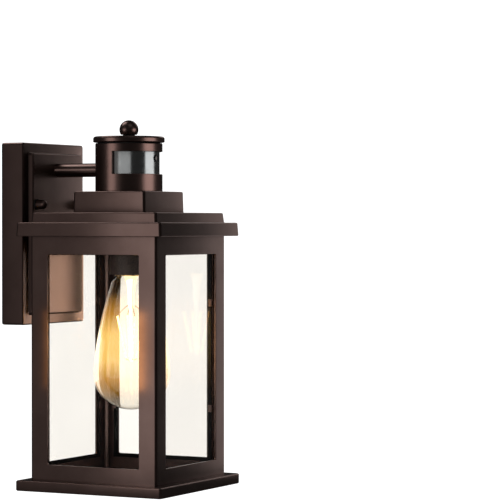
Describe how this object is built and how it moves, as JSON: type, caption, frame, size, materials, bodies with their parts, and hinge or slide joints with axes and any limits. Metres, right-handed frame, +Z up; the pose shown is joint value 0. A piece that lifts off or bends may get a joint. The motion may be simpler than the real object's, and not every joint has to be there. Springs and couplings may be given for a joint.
{
  "type": "outdoor wall lantern",
  "caption": "Square glazed outdoor wall lantern with a stepped roof, a drum-shaped motion sensor and ball finial on top, an arm to a rectangular backplate, and a teardrop bulb.",
  "frame": {"origin": "middle of the mounting strap's back face, on the wall, between its two slots", "axes": "+Z up, +Y into the wall, the lantern stands out towards -Y, +X to the right of a person facing the wall"},
  "size_m": [0.14, 0.1663, 0.3122],
  "materials": {
    "bronze_paint": "satin powder coat, oil-rubbed bronze",
    "zinc_steel": "zinc plated",
    "green_screw": "green dyed zinc",
    "black_rubber": "matt",
    "connector_plastic": "moulded",
    "smoked_lens": "smoked, satin",
    "photocell_face": "clear coated",
    "dark_plastic": "moulded",
    "circuit_board": "solder resist",
    "white_plastic": "moulded",
    "relay_plastic": "moulded",
    "sensor_can": "nickel plated",
    "brass_shell": "rolled",
    "black_glass": "vitrified",
    "amber_glass": "clear amber",
    "stem_glass": "clear",
    "glowing_filament": "lit, phosphor coated",
    "nickel_wire": "drawn",
    "clear_glass": "clear",
    "black_wire": "insulated",
    "white_wire": "insulated",
    "red_wire": "insulated",
    "green_wire": "insulated"
  },
  "bodies": {
    "bracket": {"box_strap": "zinc_steel", "pivot_screw": "zinc_steel"},
    "lantern": {"stud_strap": "zinc_steel", "mounting_studs": "zinc_steel", "stud_lock_nuts": "zinc_steel", "ground_screw": "green_screw", "wall_gasket": "black_rubber", "backplate": "bronze_paint", "wire_nuts": "connector_plastic", "arm_tube": "bronze_paint", "arm_nuts": "zinc_steel", "sensor_housing": "bronze_paint", "sensor_lens": "smoked_lens", "photocell": "photocell_face", "photocell_bezel": "dark_plastic", "sensor_board": "circuit_board", "board_holder": "white_plastic", "relay": "relay_plastic", "pir_sensor": "sensor_can", "lid_bridge": "zinc_steel", "lid_gasket": "black_rubber", "sensor_lid": "bronze_paint", "roof_cap": "bronze_paint", "roof_pan": "bronze_paint", "threaded_nipple": "zinc_steel", "nipple_nuts": "zinc_steel", "socket_cup": "bronze_paint", "socket_body": "dark_plastic", "socket_shell": "brass_shell", "socket_contact": "zinc_steel", "post_front_left": "bronze_paint", "post_front_right": "bronze_paint", "post_rear_left": "bronze_paint", "post_rear_right": "bronze_paint", "upper_rails": "bronze_paint", "lower_rails": "bronze_paint", "glass_front": "clear_glass", "glass_rear": "clear_glass", "glass_left": "clear_glass", "glass_right": "clear_glass", "glass_clips": "bronze_paint", "tie_screws": "bronze_paint", "base_frame": "bronze_paint", "wire_live": "black_wire", "wire_neutral": "white_wire", "wire_switched": "red_wire", "wire_ground": "green_wire"},
    "nut_washer_left": {"nut_washer_left": "black_rubber"},
    "cap_nut_left": {"cap_nut_left": "bronze_paint"},
    "nut_washer_right": {"nut_washer_right": "black_rubber"},
    "cap_nut_right": {"cap_nut_right": "bronze_paint"},
    "finial_washer": {"finial_washer": "black_rubber"},
    "finial": {"finial": "bronze_paint"},
    "bulb": {"bulb_cap": "brass_shell", "bulb_insulator": "black_glass", "bulb_contact": "sensor_can", "bulb_glass": "amber_glass", "bulb_stem": "stem_glass", "filaments": "glowing_filament", "filament_leads": "nickel_wire"}
  },
  "joints": [
    {"name": "levelling_swivel", "type": "hinge", "parent": "bracket", "child": "lantern", "pos_m": [0, 0, 0], "axis": [0, 1, 0], "range_deg": [-8, 8]},
    {"name": "left_washer_slide", "type": "slide", "parent": "lantern", "child": "nut_washer_left", "axis": [0, -1, 0], "range_m": [0, 0.0056]},
    {"name": "left_nut_turn", "type": "hinge", "parent": "nut_washer_left", "child": "cap_nut_left", "pos_m": [-0.035, 0, 0], "axis": [0, -1, 0], "range_deg": [0, 2881]},
    {"name": "right_washer_slide", "type": "slide", "parent": "lantern", "child": "nut_washer_right", "axis": [0, -1, 0], "range_m": [0, 0.0056]},
    {"name": "right_nut_turn", "type": "hinge", "parent": "nut_washer_right", "child": "cap_nut_right", "pos_m": [0.035, 0, 0], "axis": [0, -1, 0], "range_deg": [0, 2881]},
    {"name": "finial_washer_slide", "type": "slide", "parent": "lantern", "child": "finial_washer", "axis": [0, 0, 1], "range_m": [0, 0.0056]},
    {"name": "finial_turn", "type": "hinge", "parent": "finial_washer", "child": "finial", "pos_m": [0, -0.09625, 0.0581], "axis": [0, 0, 1], "range_deg": [0, 2881]},
    {"name": "bulb_slide", "type": "slide", "parent": "lantern", "child": "bulb", "axis": [0, 0, -1], "range_m": [0, 0.215]}
  ],
  "couplings": [
    {"joint": "left_nut_turn", "follows": "left_washer_slide", "rad_per_m": 8976},
    {"joint": "right_nut_turn", "follows": "right_washer_slide", "rad_per_m": 8976},
    {"joint": "finial_turn", "follows": "finial_washer_slide", "rad_per_m": 8976}
  ]
}
